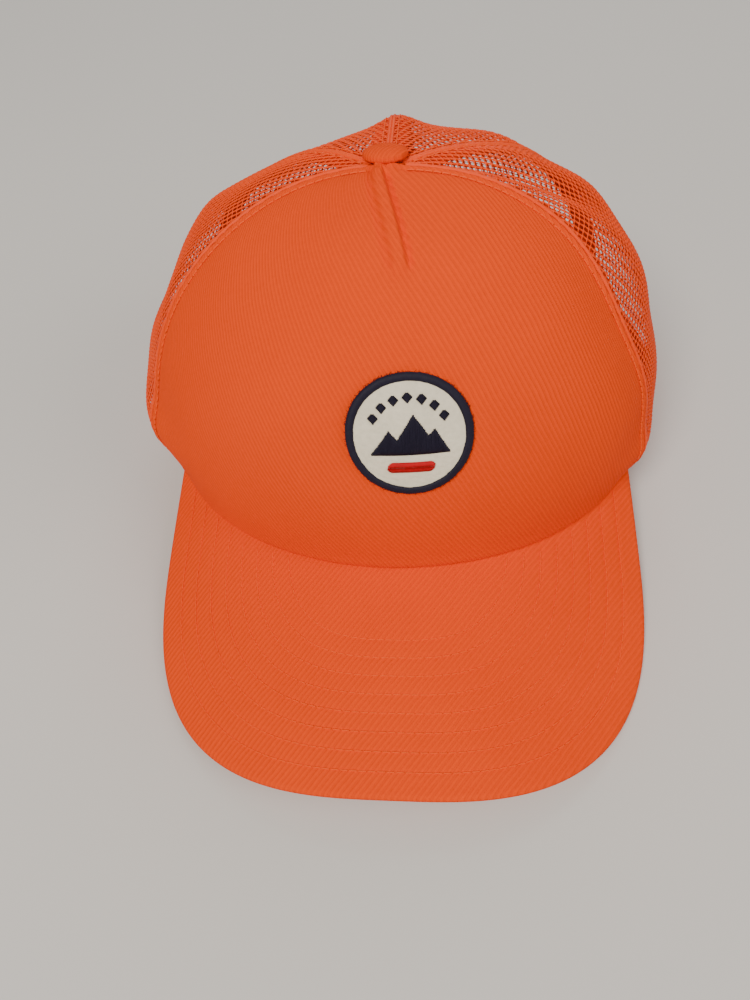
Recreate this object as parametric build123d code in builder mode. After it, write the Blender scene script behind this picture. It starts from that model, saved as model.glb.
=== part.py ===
from build123d import *
import math
import os

# Trucker mesh cap, in millimetres and degrees.
# +Z is up, the visor points along -Y and +X is the wearer's left.
# The origin is the centre of the head opening, on the plane that the cap rests on.

# Crown
hem_half_width = 95.5
hem_front = 89.5
hem_back = 90.5
crown_height = 124.5
apex_shift = (-1.5, 1.5)
roundness = (2.55, 2.25, 2.07)      # superellipse exponent at the front, sides and back
bulge = (0.010, 0.085, 0.055)       # outward swell at the front, sides and back
apex_hole_radius = 3.0
crowding = 1.25                     # how much the rows of a surface crowd towards the apex
hem_gap = 0.2
hem_back_level = 0.2
panel_gap = 0.2
hem_flat_from = 140.0

# Panel seams, as angles round from the front at the hem and at the apex
front_seam = (64.0, 87.5)
side_seam = (125.0, 128.0)
back_seam = (180.0, 180.0)

# Layers of the crown, each as its depth under the outer surface and its thickness
twill_layer = (0.0, 0.9)
mesh_layer = (0.0, 0.9)
foam_layer = (1.0, 1.6)
front_tape_layer = (2.65, 0.5)
mesh_tape_layer = (1.0, 0.6)
band_layer = (3.4, 1.8)
label_layer = (5.3, 0.4)
hem_binding_layer = (-0.8, 0.6)
arch_binding_layer = (-0.7, 2.3)
felt_layer = (-1.1, 1.0)
border_layer = (-1.7, 1.6)
embroidery_layer = (-1.7, 0.5)

foam_seam_allowance = 3.0
tape_width = 11.0
tape_end_radius = 13.0
back_tape_start = 0.3               # rise inside the opening, which cuts the tape's end
foam_end_radius = 10.0
lining_start = 0.012                # rise at which the foam and tapes clear the visor's slope
dart_length = 36.0
dart_tape_overrun = 6.0
hem_binding_height = 9.0
hem_binding_gap = 1.5               # angle between the visor and the hem's binding
band_height = 31.0
band_end = 141.5
label_angles = (100.0, 115.0)
label_heights = (4.0, 28.0)

# Opening at the back
arch_half_width = 48.0
arch_height = 58.0
arch_binding_width = 7.0
arch_blank = (138.0, 222.0)         # angles of the piece of crown that the binding is cut from
arch_blank_radius = 40.0

# Visor
visor_end = 69.0                    # angle at which its sides leave the crown
visor_length = 74.5
visor_half_width = 89.5
visor_widest_y = -71.5
visor_corner_power = 2.75
visor_rise = 0.16                   # slope up from its front edge to its root
visor_arch_radius = 208.0
visor_blank_turn = 32.0             # half of the arc that the visor is cut from
visor_thickness = 3.2
visor_cover_thickness = 0.8
visor_board_clearance = 0.1
visor_rim_width = 2.2
visor_root_depth = 3.0

# Button
button_radius = 6.85
button_dome_height = 3.9
button_cover_thickness = 0.5
rivet_clearance = 0.1
rivet_post_radius = 1.6
rivet_washer_radius = 5.2
rivet_washer_thickness = 0.8
rivet_washer_depth = 1.5

# Patch, turned off the middle as it is sewn on this cap
patch_angle = 4.4
patch_rise = 0.453
patch_radius = 19.4
patch_border_width = 2.4
embroidery_gap = 0.05

# Adjuster straps, which lie in the opening and snap together behind the head
strap_thickness = 1.2
strap_height = 19.0
strap_bottom = 1.5
strap_end_radius = 6.0
strap_hinge_x = 45.0
strap_hinge_gap = 0.35
strap_inner_depth = 2.4             # middle of the peg strap, and of both tabs
strap_outer_depth = 0.9             # middle of the hole strap where it laps the peg strap
strap_free_end = 15.5               # how far each strap passes the middle
strap_lap_end = 19.0                # where the hole strap starts to bend inwards
tab_length = 10.0
snap_pitch = 10.0
snap_first = -10.0
snap_count = 5
snap_hole_radius = 2.3
peg_radius = 1.5
peg_height = 2.2


def between(ends, part):
    """Value at part 0 to 1 of the way from the first end to the second."""
    return ends[0] + (ends[1] - ends[0]) * part


def round_value(values, angle):
    """Value that blends from the front through the side to the back of the crown."""
    front, side, back = values
    end = front if math.cos(angle) > 0 else back
    return side + (end - side) * math.cos(angle) ** 2


def hem_plan(angle):
    """X and Y of the hem at an angle round from the front."""
    depth = hem_front if math.cos(angle) > 0 else hem_back
    return hem_half_width * math.sin(angle), -depth * math.cos(angle)


def visor_edge(turn, inset=0):
    """X and Y of the visor's front edge or of a line inside it, for a turn of -90 to 90 degrees."""
    power = 2 / visor_corner_power
    sine = math.sin(math.radians(turn))
    cosine = max(math.cos(math.radians(turn)), 0)
    depth = visor_length + hem_front + visor_widest_y - inset
    x = math.copysign((visor_half_width - inset) * abs(sine) ** power, sine)
    return x, visor_widest_y - depth * cosine ** power


def visor_level(x, y, depth=0):
    """Height of a layer of the visor over its top at the middle of the root."""
    arch = math.sqrt((visor_arch_radius - depth) ** 2 - x * x) - visor_arch_radius
    return visor_rise * (y + hem_front) + arch


visor_turns = [-90 + 7.5 * step for step in range(25)]
visor_root_level = -min(visor_level(*visor_edge(turn), visor_thickness) for turn in visor_turns)


def root_level(angle):
    """Height of the crown's bottom edge where it stands on the visor."""
    return visor_root_level + hem_gap + visor_level(*hem_plan(angle))


def hem_height(angle):
    """Height of the crown's bottom edge: it follows the visor, then eases down to the table."""
    turn = abs((angle + math.pi) % (2 * math.pi) - math.pi)
    end = math.radians(visor_end)
    if turn <= end:
        return root_level(turn)
    span = math.radians(hem_flat_from) - end
    part = min((turn - end) / span, 1)
    slope = (root_level(end) - root_level(end - 0.01)) / 0.01 * span
    drop = root_level(end) - hem_back_level
    return hem_back_level + (1 - part) ** 2 * ((1 + 2 * part) * drop + part * slope)


def crown_surface(angle, rise):
    """Point of the crown's outer surface; rise is 0 at the hem and 1 at the apex."""
    power = round_value(roundness, angle)
    turn = math.pi / 2 * rise ** (power / 2)
    swell = 1 + round_value(bulge, angle) * math.sin(math.pi * rise)
    reach = max(math.cos(turn), 0) ** (2 / power) * swell
    x, y = hem_plan(angle)
    low = hem_height(angle)
    return Vector(
        apex_shift[0] * (1 - reach) + x * reach,
        apex_shift[1] * (1 - reach) + y * reach,
        low + (crown_height - low) * math.sin(turn) ** (2 / power),
    )


def crown_normal(angle, rise):
    """Outward direction of the crown's surface."""
    step = 0.002
    rise = min(max(rise, step), 1 - 2 * step)
    across = crown_surface(angle + step, rise) - crown_surface(angle - step, rise)
    along = crown_surface(angle, rise + step) - crown_surface(angle, rise - step)
    return across.cross(along).normalized()


def crown_point(angle, rise, depth):
    """Point at a depth under the crown's outer surface."""
    return crown_surface(angle, rise) - crown_normal(angle, rise) * depth


def crown_radius(angle, rise):
    """Distance from the crown's axis to its outer surface."""
    point = crown_surface(angle, rise)
    return math.hypot(point.X - apex_shift[0], point.Y - apex_shift[1])


def rise_at_radius(angle, radius):
    """Rise at which the crown has come in to a radius near the apex."""
    low, high = 0.5, 1.0
    for _ in range(30):
        middle = (low + high) / 2
        low, high = (middle, high) if crown_radius(angle, middle) > radius else (low, middle)
    return low


def rise_at_height(angle, height):
    """Rise at a height over the hem."""
    power = round_value(roundness, angle)
    part = height / (crown_height - hem_height(angle))
    return (math.asin(part ** (power / 2)) / (math.pi / 2)) ** (2 / power)


def seam_angle(seam, rise):
    """Angle of a panel seam at a rise, in radians."""
    return math.radians(between(seam, rise ** 2))


def beside_seam(seam, side, distance):
    """Edge that runs at a distance behind a seam, on side -1 or 1 of the cap."""
    def edge(rise):
        angle = seam_angle(seam, rise)
        return side * (angle + distance / crown_radius(angle, rise))
    return edge


def crown_face(edges, top_radius, depth, columns=14, rows=18, bottom=0):
    """Surface between two edges, from a rise up to a radius near the apex."""
    grid = []
    for row in range(rows + 1):
        line = []
        for column in range(columns + 1):
            top = rise_at_radius(edges[0](0.9), top_radius)
            start, end = (1 - bottom) ** (1 / crowding), (1 - top) ** (1 / crowding)
            rise = 1 - between((start, end), row / rows) ** crowding
            ends = (edges[0](rise), edges[1](rise))
            line.append(crown_point(between(ends, column / columns), rise, depth))
        grid.append(line)
    return Face.make_surface_from_array_of_points(grid, tol=0.01, min_deg=3, max_deg=5)


def strip_face(edges, bottom, top_radius, depth, rows=24):
    """Ruled strip between two edges, from a rise up to a radius near the apex."""
    sides = []
    for edge in edges:
        top = rise_at_radius(edge(0.9), top_radius)
        rises = [between((bottom, top), row / rows) for row in range(rows + 1)]
        sides.append(Edge.make_spline([crown_point(edge(rise), rise, depth) for rise in rises]))
    return Face.make_surface_from_curves(*sides)


def ring_face(angles, bottom, top, depth, columns=40, rows=6):
    """Surface round the crown between two angles and two heights over the hem."""
    grid = []
    for row in range(rows + 1):
        line = []
        for column in range(columns + 1):
            angle = math.radians(between(angles, column / columns))
            height = between((bottom(angle), top), row / rows)
            point = crown_point(angle, rise_at_height(angle, max(height, 0)), depth)
            line.append(point + Vector(0, 0, min(height, 0)))
        grid.append(line)
    return Face.make_surface_from_array_of_points(grid, tol=0.01, min_deg=3, max_deg=5)


def crown_layer(face, thickness):
    """Thicken a surface of the crown inwards."""
    outward = face.center() - Vector(0, 0, crown_height / 4)
    return thicken(face, amount=-thickness, normal_override=outward)


def arch_sketch(margin):
    """Outline of the opening at the back, grown by a margin."""
    with BuildSketch(Plane.XZ) as sketch:
        Ellipse(arch_half_width + margin, arch_height + margin)
    return sketch.sketch


os.makedirs("parts", exist_ok=True)
deep = 200.0
half_gap = panel_gap / 2

# Front panel: one piece of twill from seam to seam
with BuildPart() as front_panel:
    edges = (beside_seam(front_seam, -1, -half_gap), beside_seam(front_seam, 1, -half_gap))
    crown_layer(crown_face(edges, apex_hole_radius, twill_layer[0], 24), twill_layer[1])
front_panel.part.label = "front_panel"
export_step(front_panel.part, "parts/front_panel.step")

# Foam that is laminated behind the front twill
with BuildPart() as front_panel_backing:
    edges = (
        beside_seam(front_seam, -1, -foam_seam_allowance),
        beside_seam(front_seam, 1, -foam_seam_allowance),
    )
    face = crown_face(edges, foam_end_radius, foam_layer[0], 24, bottom=lining_start)
    crown_layer(face, foam_layer[1])
front_panel_backing.part.label = "front_panel_backing"
export_step(front_panel_backing.part, "parts/front_panel_backing.step")

# Netting panels: one at each side and two at the back, which the opening cuts into
for side, name in ((1, "left"), (-1, "right")):
    with BuildPart() as side_mesh:
        edges = (
            beside_seam(front_seam, side, half_gap),
            beside_seam(side_seam, side, -half_gap),
        )
        if side < 0:
            edges = edges[::-1]
        crown_layer(crown_face(edges, apex_hole_radius, mesh_layer[0]), mesh_layer[1])
    side_mesh.part.label = f"side_mesh_{name}"
    export_step(side_mesh.part, f"parts/side_mesh_{name}.step")

    with BuildPart() as back_mesh:
        edges = (
            beside_seam(side_seam, side, half_gap),
            beside_seam(back_seam, side, -half_gap),
        )
        if side < 0:
            edges = edges[::-1]
        crown_layer(crown_face(edges, apex_hole_radius, mesh_layer[0]), mesh_layer[1])
        extrude(arch_sketch(arch_binding_width + half_gap), amount=-deep, mode=Mode.SUBTRACT)
    back_mesh.part.label = f"back_mesh_{name}"
    export_step(back_mesh.part, f"parts/back_mesh_{name}.step")

    # Binding round the bottom edge of the netting
    with BuildPart() as hem_binding:
        angles = (side * (visor_end + hem_binding_gap), side * band_end)
        face = ring_face(sorted(angles), lambda angle: 0, hem_binding_height, hem_binding_layer[0])
        crown_layer(face, hem_binding_layer[1])
    hem_binding.part.label = f"hem_binding_{name}"
    export_step(hem_binding.part, f"parts/hem_binding_{name}.step")

    # Tapes over the seams, inside the crown
    tapes = (("front", front_seam, front_tape_layer), ("side", side_seam, mesh_tape_layer))
    for place, seam, layer in tapes:
        with BuildPart() as seam_tape:
            edges = (
                beside_seam(seam, side, -tape_width / 2),
                beside_seam(seam, side, tape_width / 2),
            )
            if side < 0:
                edges = edges[::-1]
            crown_layer(strip_face(edges, lining_start, tape_end_radius, layer[0]), layer[1])
        seam_tape.part.label = f"seam_tape_{place}_{name}"
        export_step(seam_tape.part, f"parts/seam_tape_{place}_{name}.step")

# Tape over the seam down the middle of the back
with BuildPart() as seam_tape_back:
    edges = (
        beside_seam(back_seam, 1, -tape_width / 2),
        beside_seam(back_seam, 1, tape_width / 2),
    )
    face = strip_face(edges, back_tape_start, tape_end_radius, mesh_tape_layer[0])
    crown_layer(face, mesh_tape_layer[1])
    extrude(arch_sketch(arch_binding_width + half_gap), amount=-deep, mode=Mode.SUBTRACT)
seam_tape_back.part.label = "seam_tape_back"
export_step(seam_tape_back.part, "parts/seam_tape_back.step")

# Tape over the dart, the short pleat in front of the button
with BuildPart() as dart_tape:
    angle = math.radians(patch_angle)
    start = rise_at_radius(angle, dart_length + dart_tape_overrun)
    edges = (
        lambda rise: angle - tape_width / 2 / crown_radius(angle, rise),
        lambda rise: angle + tape_width / 2 / crown_radius(angle, rise),
    )
    face = strip_face(edges, start, tape_end_radius, front_tape_layer[0], 8)
    crown_layer(face, front_tape_layer[1])
dart_tape.part.label = "dart_tape"
export_step(dart_tape.part, "parts/dart_tape.step")

# Binding round the opening at the back
with BuildPart() as arch_binding:
    edges = (lambda rise: math.radians(arch_blank[0]), lambda rise: math.radians(arch_blank[1]))
    face = crown_face(edges, arch_blank_radius, arch_binding_layer[0], 24)
    crown_layer(face, arch_binding_layer[1])
    extrude(arch_sketch(arch_binding_width), amount=-deep, mode=Mode.INTERSECT)
    extrude(arch_sketch(0), amount=-deep, mode=Mode.SUBTRACT)
arch_binding.part.label = "arch_binding"
export_step(arch_binding.part, "parts/arch_binding.step")


def band_bottom(angle):
    """Bottom of the sweatband against the hem: it also covers the visor's root."""
    return -visor_thickness * min(hem_height(angle) / (3 * visor_thickness), 1)


# Sweatband: from one side of the opening round the front to the other
with BuildPart() as sweatband:
    face = ring_face((-band_end, band_end), band_bottom, band_height, band_layer[0], 60)
    crown_layer(face, band_layer[1])
sweatband.part.label = "sweatband"
export_step(sweatband.part, "parts/sweatband.step")

# Blank care label, sewn into the band
with BuildPart() as size_label:
    face = ring_face(label_angles, lambda angle: label_heights[0], label_heights[1], label_layer[0], 6)
    crown_layer(face, label_layer[1])
size_label.part.label = "size_label"
export_step(size_label.part, "parts/size_label.step")


def visor_layer(top, bottom, rim):
    """Arched plate between two depths under the visor's top, cut in from its edge by a rim."""
    arch_centre = visor_root_level + visor_rise * hem_front - visor_arch_radius
    root_x, root_y = hem_plan(math.radians(visor_end))
    root_x -= rim
    root_y -= rim
    with BuildPart() as layer:
        with BuildSketch(Plane.XZ):
            with BuildLine():
                for depth in (top, bottom):
                    start = 90 - visor_blank_turn
                    CenterArc((0, arch_centre), visor_arch_radius - depth, start, 2 * visor_blank_turn)
                for turn in (90 - visor_blank_turn, 90 + visor_blank_turn):
                    direction = (math.cos(math.radians(turn)), math.sin(math.radians(turn)))
                    PolarLine(
                        (direction[0] * (visor_arch_radius - top),
                         direction[1] * (visor_arch_radius - top) + arch_centre),
                        bottom - top, direction=(-direction[0], -direction[1]),
                    )
            make_face()
        extrude(amount=deep, dir=(0, -1, -visor_rise))
        with BuildSketch(Plane.XY.offset(-20)) as outline:
            with BuildLine():
                Spline(*[visor_edge(turn, rim) for turn in visor_turns], tangents=((0, -1), (0, 1)))
                for side in (-1, 1):
                    widest = (side * (visor_half_width - rim), visor_widest_y)
                    pull = (widest[0], between((visor_widest_y, root_y), 0.45))
                    Bezier(widest, pull, (side * root_x, root_y))
                Line((-root_x, root_y), (root_x, root_y))
            make_face()
            root = visor_root_depth - rim / 2
            Ellipse(hem_half_width - root, hem_front - root, mode=Mode.SUBTRACT)
        extrude(outline.sketch, amount=100, mode=Mode.INTERSECT)
    return layer.part


# Visor: a stiff board between two twill covers that meet round its edge
visor_middle = visor_thickness / 2
board_top = visor_cover_thickness + visor_board_clearance
board_bottom = visor_thickness - visor_cover_thickness - visor_board_clearance
board_rim = visor_rim_width + visor_board_clearance

with BuildPart() as visor_board:
    add(visor_layer(board_top, board_bottom, board_rim))
visor_board.part.label = "visor_board"
export_step(visor_board.part, "parts/visor_board.step")

with BuildPart() as visor_top_cover:
    add(visor_layer(0, visor_middle, 0))
    pocket = visor_layer(visor_cover_thickness, visor_thickness, visor_rim_width)
    add(pocket, mode=Mode.SUBTRACT)
visor_top_cover.part.label = "visor_top_cover"
export_step(visor_top_cover.part, "parts/visor_top_cover.step")

with BuildPart() as visor_under_cover:
    add(visor_layer(visor_middle, visor_thickness, 0))
    pocket = visor_layer(0, visor_thickness - visor_cover_thickness, visor_rim_width)
    add(pocket, mode=Mode.SUBTRACT)
visor_under_cover.part.label = "visor_under_cover"
export_step(visor_under_cover.part, "parts/visor_under_cover.step")


def dome(radius, height):
    """Half profile of a low dome that stands on the X axis."""
    ball = (radius ** 2 + height ** 2) / (2 * height)
    start = math.degrees(math.asin((ball - height) / ball))
    with BuildSketch(Plane.XZ) as profile:
        with BuildLine():
            Line((0, 0), (radius, 0))
            CenterArc((0, height - ball), ball, start, 90 - start)
            Line((0, height), (0, 0))
        make_face()
    return profile.sketch


apex = Location((apex_shift[0], apex_shift[1], crown_height + rivet_clearance))

# Button: a fabric cover over a metal shell, whose post is closed by a washer inside
with BuildPart() as button_cover:
    revolve(dome(button_radius, button_dome_height), axis=Axis.Z)
    shell_radius = button_radius - button_cover_thickness
    shell_height = button_dome_height - button_cover_thickness
    revolve(dome(shell_radius, shell_height), axis=Axis.Z, mode=Mode.SUBTRACT)
button_cover.part.locate(apex)
button_cover.part.label = "button_cover"
export_step(button_cover.part, "parts/button_cover.step")

with BuildPart() as button_rivet:
    rivet_radius = button_radius - button_cover_thickness - rivet_clearance
    rivet_height = button_dome_height - button_cover_thickness - rivet_clearance
    revolve(dome(rivet_radius, rivet_height), axis=Axis.Z)
    with BuildSketch(Plane.XY):
        Circle(rivet_post_radius)
    extrude(amount=-rivet_washer_depth - rivet_clearance)
    with BuildSketch(Plane.XY.offset(-rivet_washer_depth)):
        Circle(rivet_washer_radius)
    extrude(amount=-rivet_washer_thickness)
button_rivet.part.locate(apex)
button_rivet.part.label = "button_rivet"
export_step(button_rivet.part, "parts/button_rivet.step")


def patch_face(depth):
    """Part of the crown's surface that reaches past the patch all round."""
    grid = []
    for row in range(11):
        rise = between((patch_rise - 0.2, patch_rise + 0.2), row / 10)
        turns = [math.radians(between((patch_angle - 18, patch_angle + 18), c / 10)) for c in range(11)]
        grid.append([crown_point(turn, rise, depth) for turn in turns])
    return Face.make_surface_from_array_of_points(grid, tol=0.01, min_deg=3, max_deg=5)


patch_turn = math.radians(patch_angle)
patch_plane = Plane(
    origin=crown_surface(patch_turn, patch_rise),
    x_dir=(math.cos(patch_turn), math.sin(patch_turn), 0),
    z_dir=crown_normal(patch_turn, patch_rise),
)
felt_radius = patch_radius - patch_border_width
sky_radius = 0.72 * felt_radius

# Patch: a felt disc with a merrowed edge and two colours of embroidery
with BuildPart() as patch_base:
    crown_layer(patch_face(felt_layer[0]), felt_layer[1])
    with BuildSketch(patch_plane):
        Circle(felt_radius)
    extrude(amount=20, both=True, mode=Mode.INTERSECT)
patch_base.part.label = "patch_base"
export_step(patch_base.part, "parts/patch_base.step")

with BuildPart() as patch_border:
    crown_layer(patch_face(border_layer[0]), border_layer[1])
    with BuildSketch(patch_plane):
        Circle(patch_radius)
        Circle(felt_radius + embroidery_gap, mode=Mode.SUBTRACT)
    extrude(amount=20, both=True, mode=Mode.INTERSECT)
patch_border.part.label = "patch_border"
export_step(patch_border.part, "parts/patch_border.step")

# The dark motif is a range of peaks under an arc of diamonds
with BuildPart() as patch_motif:
    crown_layer(patch_face(embroidery_layer[0]), embroidery_layer[1])
    with BuildSketch(patch_plane):
        with BuildLine():
            Polyline(
                (-12.0, -5.3), (-6.2, 2.4), (-3.8, -0.5), (1.4, 7.2), (5.7, 0.5), (7.7, 2.4),
                (12.0, -5.3), (-12.0, -5.3),
            )
        make_face()
        with PolarLocations(sky_radius, 7, start_angle=30, angular_range=120, endpoint=True):
            RegularPolygon(1.6, 4)
    extrude(amount=20, both=True, mode=Mode.INTERSECT)
patch_motif.part.label = "patch_motif"
export_step(patch_motif.part, "parts/patch_motif.step")

# The bright motif is a bar under the peaks
with BuildPart() as patch_accent:
    crown_layer(patch_face(embroidery_layer[0]), embroidery_layer[1])
    with BuildSketch(patch_plane):
        with Locations((0, -9.6)):
            SlotOverall(14.4, 3.4)
    extrude(amount=20, both=True, mode=Mode.INTERSECT)
patch_accent.part.label = "patch_accent"
export_step(patch_accent.part, "parts/patch_accent.step")

# Adjuster straps, on circles that share the curve of the back of the hem
back_radius = hem_half_width ** 2 / hem_back
back_centre = (0, hem_back - back_radius)
inner_radius = back_radius - strap_inner_depth
outer_radius = back_radius - strap_outer_depth
hinge_angle = math.degrees(math.asin(strap_hinge_x / inner_radius))
free_angle = math.degrees(strap_free_end / inner_radius)
strap_middle = strap_bottom + strap_height / 2
strap_blank_length = 2 * strap_hinge_x
snap_places = [snap_first + snap_pitch * index for index in range(snap_count)]


def back_point(radius, turn):
    """Point on a circle behind the head, at a turn from the middle towards +X."""
    angle = math.radians(turn)
    return back_centre[0] + radius * math.sin(angle), back_centre[1] + radius * math.cos(angle)


def snap_plane(radius, place):
    """Plane on a strap's middle circle that faces out from the head."""
    turn = math.degrees(place / inner_radius)
    x, y = back_point(radius, turn)
    outward = (math.sin(math.radians(turn)), math.cos(math.radians(turn)), 0)
    return Plane(origin=(x, y, strap_middle), x_dir=(outward[1], -outward[0], 0), z_dir=outward)


for side, name in ((1, "hole_strap_tab"), (-1, "peg_strap_tab")):
    with BuildPart() as strap_tab:
        clear_turn = math.degrees((strap_thickness / 2 + strap_hinge_gap) / inner_radius)
        tab_turn = math.degrees(tab_length / inner_radius)
        with BuildSketch(Plane.XY.offset(strap_bottom)):
            with BuildLine():
                start = 90 - side * (hinge_angle + clear_turn)
                CenterArc(back_centre, inner_radius, start, -side * tab_turn)
            trace(line_width=strap_thickness)
        extrude(amount=strap_height)
    strap_tab.part.label = name
    export_step(strap_tab.part, f"parts/{name}.step")

# The hole strap hangs from +X and laps over the outside of the peg strap
with BuildPart() as hole_strap:
    lap_angle = math.degrees(strap_lap_end / inner_radius)
    with BuildSketch(Plane.XY.offset(strap_bottom)):
        with BuildLine():
            lap = CenterArc(back_centre, outer_radius, 90 + free_angle, -free_angle - lap_angle)
            hinge = back_point(inner_radius, hinge_angle)
            slope = math.radians(hinge_angle)
            Spline(lap @ 1, hinge, tangents=(lap % 1, (math.cos(slope), -math.sin(slope))))
        trace(line_width=strap_thickness)
        with Locations(hinge):
            Circle(strap_thickness / 2)
    extrude(amount=strap_height)
    with BuildSketch(Plane.XZ):
        with Locations((strap_blank_length / 2 - strap_free_end, strap_middle)):
            RectangleRounded(strap_blank_length, strap_height, strap_end_radius)
    extrude(amount=-deep, mode=Mode.INTERSECT)
    for place in snap_places:
        with BuildSketch(snap_plane(outer_radius, place)):
            Circle(snap_hole_radius)
        extrude(amount=3, both=True, mode=Mode.SUBTRACT)
hole_strap.part.label = "hole_strap"
export_step(hole_strap.part, "parts/hole_strap.step")

# The peg strap hangs from -X, with its pegs through the other strap's holes
with BuildPart() as peg_strap:
    with BuildSketch(Plane.XY.offset(strap_bottom)):
        with BuildLine():
            CenterArc(back_centre, inner_radius, 90 - free_angle, free_angle + hinge_angle)
        trace(line_width=strap_thickness)
        with Locations(back_point(inner_radius, -hinge_angle)):
            Circle(strap_thickness / 2)
    extrude(amount=strap_height)
    with BuildSketch(Plane.XZ):
        with Locations((strap_free_end - strap_blank_length / 2, strap_middle)):
            RectangleRounded(strap_blank_length, strap_height, strap_end_radius)
    extrude(amount=-deep, mode=Mode.INTERSECT)
    for place in snap_places:
        with BuildSketch(snap_plane(inner_radius, -place)):
            Circle(peg_radius)
        extrude(amount=strap_thickness / 2 + peg_height)
peg_strap.part.label = "peg_strap"
export_step(peg_strap.part, "parts/peg_strap.step")

print(f"hinge at x {strap_hinge_x:.2f}, y {back_point(inner_radius, hinge_angle)[1]:.2f}")
print(f"visor root level {visor_root_level:.2f}, patch at {patch_plane.origin}")
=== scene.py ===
import math

import bpy
import numpy as np
from mathutils import Matrix, Vector


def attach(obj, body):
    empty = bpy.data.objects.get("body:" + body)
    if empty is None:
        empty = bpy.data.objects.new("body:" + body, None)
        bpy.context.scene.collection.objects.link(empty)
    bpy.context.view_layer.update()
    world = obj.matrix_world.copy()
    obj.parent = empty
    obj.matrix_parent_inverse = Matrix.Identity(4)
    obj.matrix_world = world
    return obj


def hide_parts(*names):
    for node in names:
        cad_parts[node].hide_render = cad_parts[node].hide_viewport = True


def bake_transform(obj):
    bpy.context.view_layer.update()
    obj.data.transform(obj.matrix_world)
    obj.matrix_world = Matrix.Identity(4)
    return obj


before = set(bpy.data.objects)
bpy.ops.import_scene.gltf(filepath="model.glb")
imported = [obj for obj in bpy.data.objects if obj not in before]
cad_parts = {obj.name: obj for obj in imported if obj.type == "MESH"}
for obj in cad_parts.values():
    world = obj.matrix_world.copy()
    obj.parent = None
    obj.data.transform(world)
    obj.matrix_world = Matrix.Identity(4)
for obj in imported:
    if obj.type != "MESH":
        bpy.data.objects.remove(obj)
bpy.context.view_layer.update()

MM = 0.001

# ---- sizes in millimetres and radians

# Crown, as in the CAD model; a seam has its degrees round at the hem and at the apex
hem_half_width = 95.5
hem_front = 89.5
hem_back = 90.5
crown_height = 124.5
apex_shift = (-1.5, 1.5)
roundness = (2.55, 2.25, 2.07)
bulge = (0.010, 0.085, 0.055)
hem_gap = 0.2
hem_back_level = 0.2
hem_flat_from = math.radians(140.0)
front_seam = (64.0, 87.5)
side_seam = (125.0, 128.0)
back_seam = (180.0, 180.0)
arch_half_width = 48.0
arch_height = 58.0
arch_binding_width = 7.0

# Cloth layers and stitches, which have their own thickness here
back_stitch_offset = 2.2
front_twill_depth = 1.6
foam_depths = (1.75, 2.75)
tape_half_width = 5.5
tape_thickness = 0.55
tape_stitch_offset = 4.4

# The band and the hem tapes run on to the binding of the back opening, past their ends in the CAD model
band_end = math.radians(144.2)
band_height = 31.0
band_front_depth = 3.1
band_side_depth = 1.7
band_front_end = math.radians(68)
band_thickness = 3.3
hem_tape_height = 9.0
hem_tape_gap = math.radians(1.5)
hem_stitch_heights = (1.8, 7.2)
label_degrees = (100, 115)
label_heights = (4.0, 28.0)

# Visor, as in the CAD model
visor_end = math.radians(69.0)
visor_length = 74.5
visor_half_width = 89.5
visor_widest_y = -71.5
visor_corner_power = 2.75
visor_rise = 0.16
visor_arch_radius = 208.0
visor_thickness = 3.2
visor_root_depth = 3.0
visor_depth = visor_length + hem_front + visor_widest_y

# The button is larger than in the CAD model, leans back and sits behind its place there
button_radius = 7.25
button_height = 2.8
button_tilt = math.radians(16)
button_place = (-2.1, 7.1, 124.1)

# Patch and dart
patch_angle = math.radians(4.4)
patch_rise = 0.453
patch_radius = 19.4
border_width = 2.5
dart_length = 36.0

# Straps, as in the CAD model
strap_thickness = 1.2
strap_height = 19.0
strap_bottom = 1.5
strap_hinge_x = 45.0
strap_inner_depth = 2.4
strap_outer_depth = 0.9
strap_free_end = 15.5
strap_lap_end = 19.0
tab_length = 10.0
snap_places = (-10.0, 0.0, 10.0, 20.0, 30.0)
snap_hole_radius = 2.3
peg_radius = 1.5
peg_height = 2.2


def mix(a, b, part):
    return a + (b - a) * part


def ease(part):
    """Smooth step, for a part of 0 to 1."""
    return part ** 2 * (3 - 2 * part)


def logistic(value):
    return 1 / (1 + np.exp(-value))


def squared(value, power):
    """Power that keeps the sign; a power under 1 makes a round section squarer."""
    return np.sign(value) * np.abs(value) ** power


def bump(distance, width):
    return np.exp(-(distance / width) ** 2)


def unit(vectors):
    return vectors / np.maximum(np.linalg.norm(vectors, axis=-1, keepdims=True), 1e-9)


def noise(points, size, seed, octaves=2):
    """Smooth value of about -1 to 1 at each point, from a few fixed waves."""
    random = np.random.default_rng(seed)
    total = 0
    for octave in range(octaves):
        for _ in range(6):
            direction = unit(random.normal(size=3))
            phase = random.uniform(0, 2 * math.pi)
            wave = points @ direction * 2 * math.pi * 2 ** octave / (size * random.uniform(0.7, 1.4))
            total = total + np.sin(wave + phase) / 2 ** octave / 3
    return total / 1.5


def full_turn(count):
    return np.linspace(0, 2 * math.pi, count, endpoint=False)


def path_length(path):
    """Length along a path up to each of its points."""
    return np.concatenate([[0], np.cumsum(np.linalg.norm(np.diff(path, axis=0), axis=1))])


def even_points(path, count):
    """Points at an even spacing along a path."""
    length = path_length(path)
    places = np.linspace(0, length[-1], count)
    return np.stack([np.interp(places, length, values) for values in path.T], -1)


# ---- surface of the crown

def from_front(angle):
    """How far round an angle is from the middle of the front, either way."""
    return np.abs((angle + math.pi) % (2 * math.pi) - math.pi)


def round_value(values, angle):
    front, side, back = values
    end = np.where(np.cos(angle) > 0, front, back)
    return side + (end - side) * np.cos(angle) ** 2


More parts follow.
